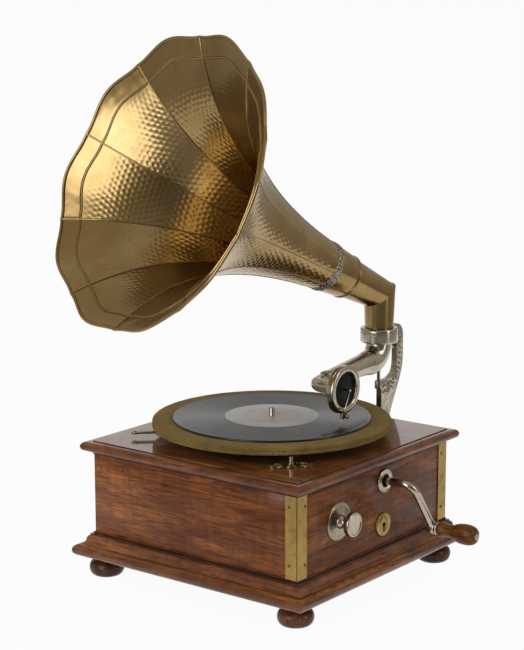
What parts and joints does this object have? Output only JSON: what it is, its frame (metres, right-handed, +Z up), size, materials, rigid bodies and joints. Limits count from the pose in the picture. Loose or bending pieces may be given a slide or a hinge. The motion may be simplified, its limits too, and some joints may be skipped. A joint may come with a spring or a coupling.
{
  "type": "gramophone",
  "caption": "Table gramophone: moulded wooden case with a wind-up spring motor, felted turntable with a record, swinging tone arm and a swivelling petalled brass horn.",
  "frame": {"origin": "on the turntable's axis, level with the undersides of the feet", "axes": "+X towards the crank, +Y towards the horn's bracket at the back, +Z up along the spindle"},
  "size_m": [0.4993, 0.4693, 0.6729],
  "materials": {
    "mahogany": "satin",
    "board_wood": "matte",
    "grip_wood": "polished",
    "horn_brass": "aged, hammered",
    "brass_trim": "aged",
    "nickel": "worn nickel plate",
    "motor_steel": "oiled",
    "motor_brass": "turned",
    "felt": "worn felt",
    "record": "grooved",
    "label_paper": "printed paper",
    "leather": "matte",
    "mica": "dark"
  },
  "bodies": {
    "case": {"feet": "mahogany", "base_moulding": "mahogany", "bottom_board": "board_wood", "front_panel": "mahogany", "back_panel": "mahogany", "left_panel": "mahogany", "right_panel": "mahogany", "top_board": "mahogany", "corner_strips": "brass_trim", "crank_bush": "nickel", "keyhole_plate": "brass_trim", "dial_plate": "nickel", "horn_bracket": "nickel", "motor_upper_plate": "motor_steel", "motor_lower_plate": "motor_steel", "motor_pillars": "motor_steel", "motor_bearings": "motor_steel", "brake_pivot": "brass_trim", "stop_plate": "brass_trim"},
    "turntable": {"spindle": "motor_steel", "worm_wheel": "motor_brass", "platter": "motor_steel", "felt": "felt", "record": "record", "record_label": "label_paper"},
    "intermediate": {"intermediate_arbor": "motor_steel", "intermediate_wheel": "motor_brass"},
    "barrel": {"great_wheel": "motor_brass", "spring_barrel": "motor_steel", "barrel_cover": "motor_steel", "mainspring": "motor_steel"},
    "winding_arbor": {"barrel_arbor": "motor_steel", "bevel_wheel": "motor_brass"},
    "crank": {"winding_shaft": "motor_steel", "crank_arm": "nickel", "grip_rivet": "nickel"},
    "grip": {"crank_grip": "grip_wood", "grip_ferrule": "nickel"},
    "governor": {"governor_shaft": "motor_steel", "governor_weights": "motor_brass", "governor_springs": "motor_steel", "governor_disc": "motor_steel"},
    "regulator": {"speed_lever": "motor_brass", "lever_pad": "leather"},
    "knob": {"speed_knob": "nickel"},
    "arm": {"tone_arm": "nickel"},
    "crook": {"crook": "nickel", "sound_box": "nickel", "box_ring": "nickel", "diaphragm": "mica", "stylus_bar": "motor_steel", "needle": "motor_steel"},
    "needle_clamp": {"needle_screw": "brass_trim"},
    "horn": {"horn_elbow": "horn_brass", "horn_neck": "horn_brass", "horn_petals": "horn_brass", "horn_band": "horn_brass", "horn_rim": "horn_brass"},
    "brake": {"brake_lever": "brass_trim", "brake_pad": "leather"}
  },
  "joints": [
    {"name": "turntable_spin", "type": "hinge", "parent": "case", "child": "turntable", "pos_m": [0, 0, 0.174], "axis": [0, 0, 1], "continuous": true},
    {"name": "intermediate_spin", "type": "hinge", "parent": "case", "child": "intermediate", "pos_m": [0.03327, 0.01375, 0.1126], "axis": [0, 0, 1], "continuous": true},
    {"name": "barrel_spin", "type": "hinge", "parent": "case", "child": "barrel", "pos_m": [0.075, 0.0185, 0.1126], "axis": [0, 0, 1], "continuous": true},
    {"name": "governor_spin", "type": "hinge", "parent": "case", "child": "governor", "pos_m": [0, -0.036, 0.0916], "axis": [1, 0, 0], "continuous": true},
    {"name": "crank_turn", "type": "hinge", "parent": "case", "child": "crank", "pos_m": [0.1575, 0.0185, 0.1376], "axis": [1, 0, 0], "continuous": true},
    {"name": "winding_arbor_turn", "type": "hinge", "parent": "case", "child": "winding_arbor", "pos_m": [0.075, 0.0185, 0.1126], "axis": [0, 0, 1], "continuous": true},
    {"name": "grip_spin", "type": "hinge", "parent": "crank", "child": "grip", "pos_m": [0.1995, 0.06435, 0.0745], "axis": [1, 0, 0], "continuous": true},
    {"name": "speed_knob_turn", "type": "hinge", "parent": "case", "child": "knob", "pos_m": [0.1575, -0.076, 0.109], "axis": [1, 0, 0], "range_deg": [-45, 30]},
    {"name": "regulator_turn", "type": "hinge", "parent": "case", "child": "regulator", "pos_m": [0.089, -0.076, 0.0916], "axis": [0, 0, 1], "range_deg": [-6, 4]},
    {"name": "tone_arm_swing", "type": "hinge", "parent": "case", "child": "arm", "pos_m": [0.04, 0.178, 0.23819], "axis": [0, 0, 1], "range_deg": [-12, 45]},
    {"name": "sound_box_lift", "type": "hinge", "parent": "arm", "child": "crook", "pos_m": [0.04, 0.154, 0.24457], "axis": [0, -0.9986, -0.0523], "range_deg": [0, 95]},
    {"name": "needle_screw_turn", "type": "hinge", "parent": "crook", "child": "needle_clamp", "pos_m": [0.092, 0.01814, 0.20943], "axis": [1, 0, 0], "range_deg": [0, 360]},
    {"name": "horn_swivel", "type": "hinge", "parent": "case", "child": "horn", "pos_m": [0.04, 0.178, 0.332], "axis": [0, 0, 1], "continuous": true},
    {"name": "brake_swing", "type": "hinge", "parent": "case", "child": "brake", "pos_m": [-0.08893, -0.08206, 0.174], "axis": [0, 0, 1], "range_deg": [0, 26]}
  ],
  "couplings": [
    {"joint": "intermediate_spin", "follows": "turntable_spin", "ratio": -0.2},
    {"joint": "barrel_spin", "follows": "turntable_spin", "ratio": 0.033333},
    {"joint": "governor_spin", "follows": "turntable_spin", "ratio": -10},
    {"joint": "winding_arbor_turn", "follows": "crank_turn", "ratio": 0.5},
    {"joint": "regulator_turn", "follows": "speed_knob_turn", "ratio": 0.10714}
  ]
}
